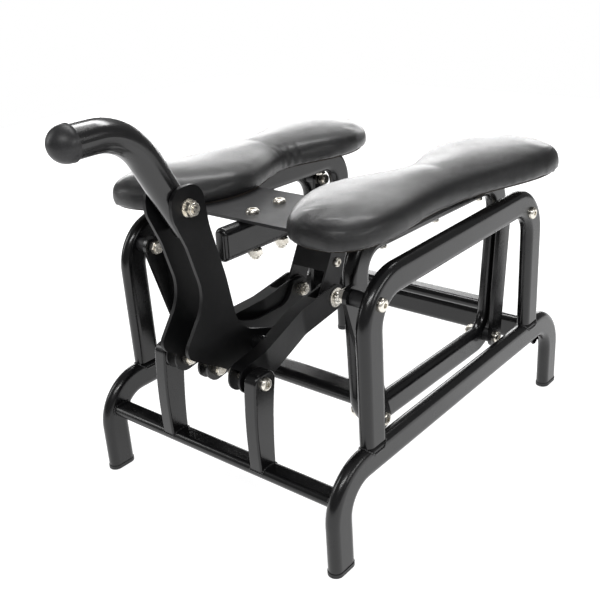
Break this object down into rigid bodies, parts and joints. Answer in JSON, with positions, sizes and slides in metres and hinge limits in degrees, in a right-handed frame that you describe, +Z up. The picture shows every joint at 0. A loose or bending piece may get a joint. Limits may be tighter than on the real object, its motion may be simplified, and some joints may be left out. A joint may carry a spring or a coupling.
{
  "type": "gliding straddle seat",
  "caption": "Low floor-standing tube frame with twin padded rails on a seat carriage hung by flat swing links, driving a front lever with a curved ball-ended handle.",
  "frame": {"origin": "on the floor under the middle of the whole seat, handle included", "axes": "+X is the machine's right-hand side seen by a rider who faces the handle, -Y is the front with the handle, +Z is up"},
  "size_m": [0.4916, 0.7568, 0.562],
  "materials": {
    "black_powder_coat": "semi-gloss",
    "gloss_black_tube": "gloss",
    "grip_rubber": "satin",
    "black_plastic": "matte",
    "pad_board": "matte",
    "black_vinyl": "soft sheen",
    "zinc_hardware": "zinc plated"
  },
  "bodies": {
    "base": {"base_rail_left": "black_powder_coat", "base_rail_right": "black_powder_coat", "base_hoop_left": "black_powder_coat", "base_hoop_right": "black_powder_coat", "base_front_tube": "black_powder_coat", "base_rear_tube": "black_powder_coat", "foot_caps": "black_plastic", "upright_left": "black_powder_coat", "upright_right": "black_powder_coat", "link_top_bolts": "zinc_hardware", "link_top_nuts": "zinc_hardware", "link_top_spacers": "zinc_hardware", "arm_pivot_bolts": "zinc_hardware", "arm_pivot_nuts": "zinc_hardware", "arm_pivot_spacers": "zinc_hardware"},
    "front_links": {"front_link_left": "black_powder_coat", "front_link_right": "black_powder_coat"},
    "rear_links": {"rear_link_left": "black_powder_coat", "rear_link_right": "black_powder_coat"},
    "seat": {"seat_hoop_left": "black_powder_coat", "seat_hoop_right": "black_powder_coat", "seat_front_tube": "black_powder_coat", "seat_rear_tube": "black_powder_coat", "centre_plate": "black_powder_coat", "centre_beam": "black_powder_coat", "beam_end_plug": "black_plastic", "plate_bolts": "zinc_hardware", "plate_nuts": "zinc_hardware", "pad_board_left": "pad_board", "pad_board_right": "pad_board", "pad_left": "black_vinyl", "pad_right": "black_vinyl", "pad_screws": "zinc_hardware", "link_low_bolts": "zinc_hardware", "link_low_nuts": "zinc_hardware", "link_low_spacers": "zinc_hardware", "drop_top_bolt": "zinc_hardware", "drop_top_nut": "zinc_hardware", "drop_top_spacers": "zinc_hardware"},
    "drop": {"drop_link": "black_powder_coat", "drop_link_bolts": "zinc_hardware", "drop_link_nuts": "zinc_hardware"},
    "lever": {"lever_plate_left": "black_powder_coat", "lever_plate_right": "black_powder_coat", "arm_left": "black_powder_coat", "arm_right": "black_powder_coat", "lever_cross_tube": "black_powder_coat", "lever_mid_channel": "black_powder_coat", "mid_bolt": "zinc_hardware", "mid_nut": "zinc_hardware", "arm_rear_bolts": "zinc_hardware", "arm_rear_nuts": "zinc_hardware", "arm_rear_rings": "zinc_hardware", "handle_tube": "gloss_black_tube", "handle_cap": "grip_rubber", "handle_bolt": "zinc_hardware", "handle_nut": "zinc_hardware", "handle_washers": "zinc_hardware"}
  },
  "joints": [
    {"name": "glide", "type": "hinge", "parent": "base", "child": "front_links", "pos_m": [0, -0.1214, 0.324], "axis": [1, 0, 0], "range_deg": [-8, 4]},
    {"name": "rear_swing", "type": "hinge", "parent": "base", "child": "rear_links", "pos_m": [0, 0.2586, 0.324], "axis": [1, 0, 0], "range_deg": [-8, 4]},
    {"name": "seat_hinge", "type": "hinge", "parent": "front_links", "child": "seat", "pos_m": [0, -0.06493, 0.13214], "axis": [1, 0, 0], "range_deg": [-5.2, 10.4]},
    {"name": "lever_pivot", "type": "hinge", "parent": "base", "child": "lever", "pos_m": [0, -0.1934, 0.217], "axis": [1, 0, 0], "range_deg": [-5, 2.6]},
    {"name": "drop_swing", "type": "hinge", "parent": "seat", "child": "drop", "pos_m": [0, 0.0676, 0.352], "axis": [1, 0, 0], "range_deg": [-8.4, 16.6]}
  ],
  "couplings": [
    {"joint": "rear_swing", "follows": "glide", "ratio": 0.9785},
    {"joint": "seat_hinge", "follows": "glide", "ratio": -1.261},
    {"joint": "lever_pivot", "follows": "glide", "ratio": 0.602},
    {"joint": "drop_swing", "follows": "glide", "ratio": -2.061}
  ]
}
